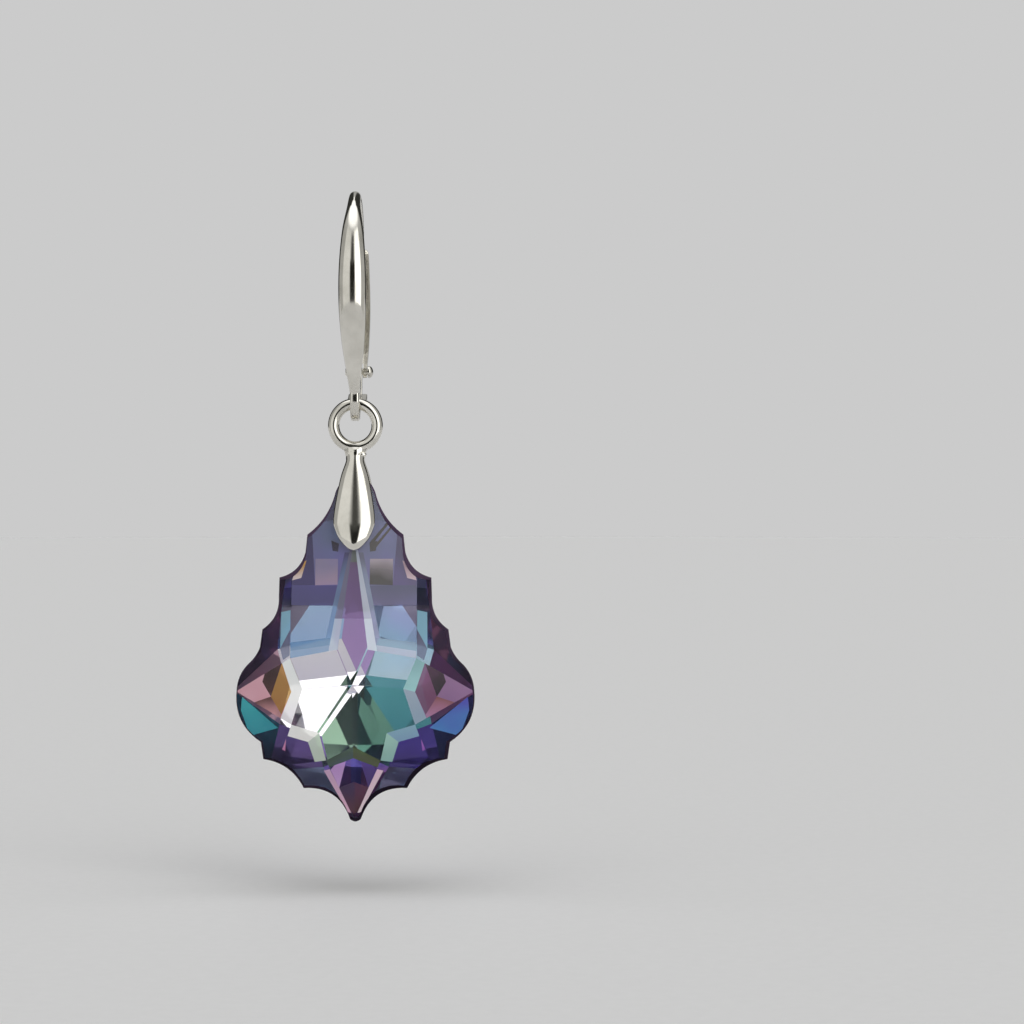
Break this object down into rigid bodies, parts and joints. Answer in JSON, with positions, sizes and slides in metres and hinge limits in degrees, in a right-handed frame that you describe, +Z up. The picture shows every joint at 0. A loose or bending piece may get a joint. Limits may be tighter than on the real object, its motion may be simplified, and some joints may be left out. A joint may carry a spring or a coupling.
{
  "type": "lever-back drop earring",
  "caption": "Drop earring: a domed silver leaf on a lever-back ear wire, a ring and pinch bail, and a baroque-cut crystal pendant.",
  "frame": {"origin": "inner top of the ear wire's hook, where the earring hangs on the ear", "axes": "+Z up along the hanging earring, -Y the front that the picture shows, +X to the right seen from the front"},
  "size_m": [0.015, 0.009, 0.0397],
  "materials": {
    "silver": "polished silver",
    "crystal": "clear cut glass with an iridescent back coating"
  },
  "bodies": {
    "ear_wire": {"ear_wire": "silver", "hinge_pin": "silver"},
    "lever": {"lever": "silver"},
    "bail": {"pinch_bail": "silver"},
    "pendant": {"crystal_pendant": "crystal"}
  },
  "joints": [
    {"name": "lever_hinge", "type": "hinge", "parent": "ear_wire", "child": "lever", "pos_m": [0, 0.0026, -0.01055], "axis": [-1, 0, 0], "range_deg": [0, 50]},
    {"name": "drop_swing", "type": "hinge", "parent": "ear_wire", "child": "bail", "pos_m": [0, 0, -0.01268], "axis": [1, 0, 0], "range_deg": [-50, 50]},
    {"name": "stone_swing", "type": "hinge", "parent": "bail", "child": "pendant", "pos_m": [0, 0, -0.02094], "axis": [0, 1, 0], "range_deg": [-12, 12]}
  ]
}
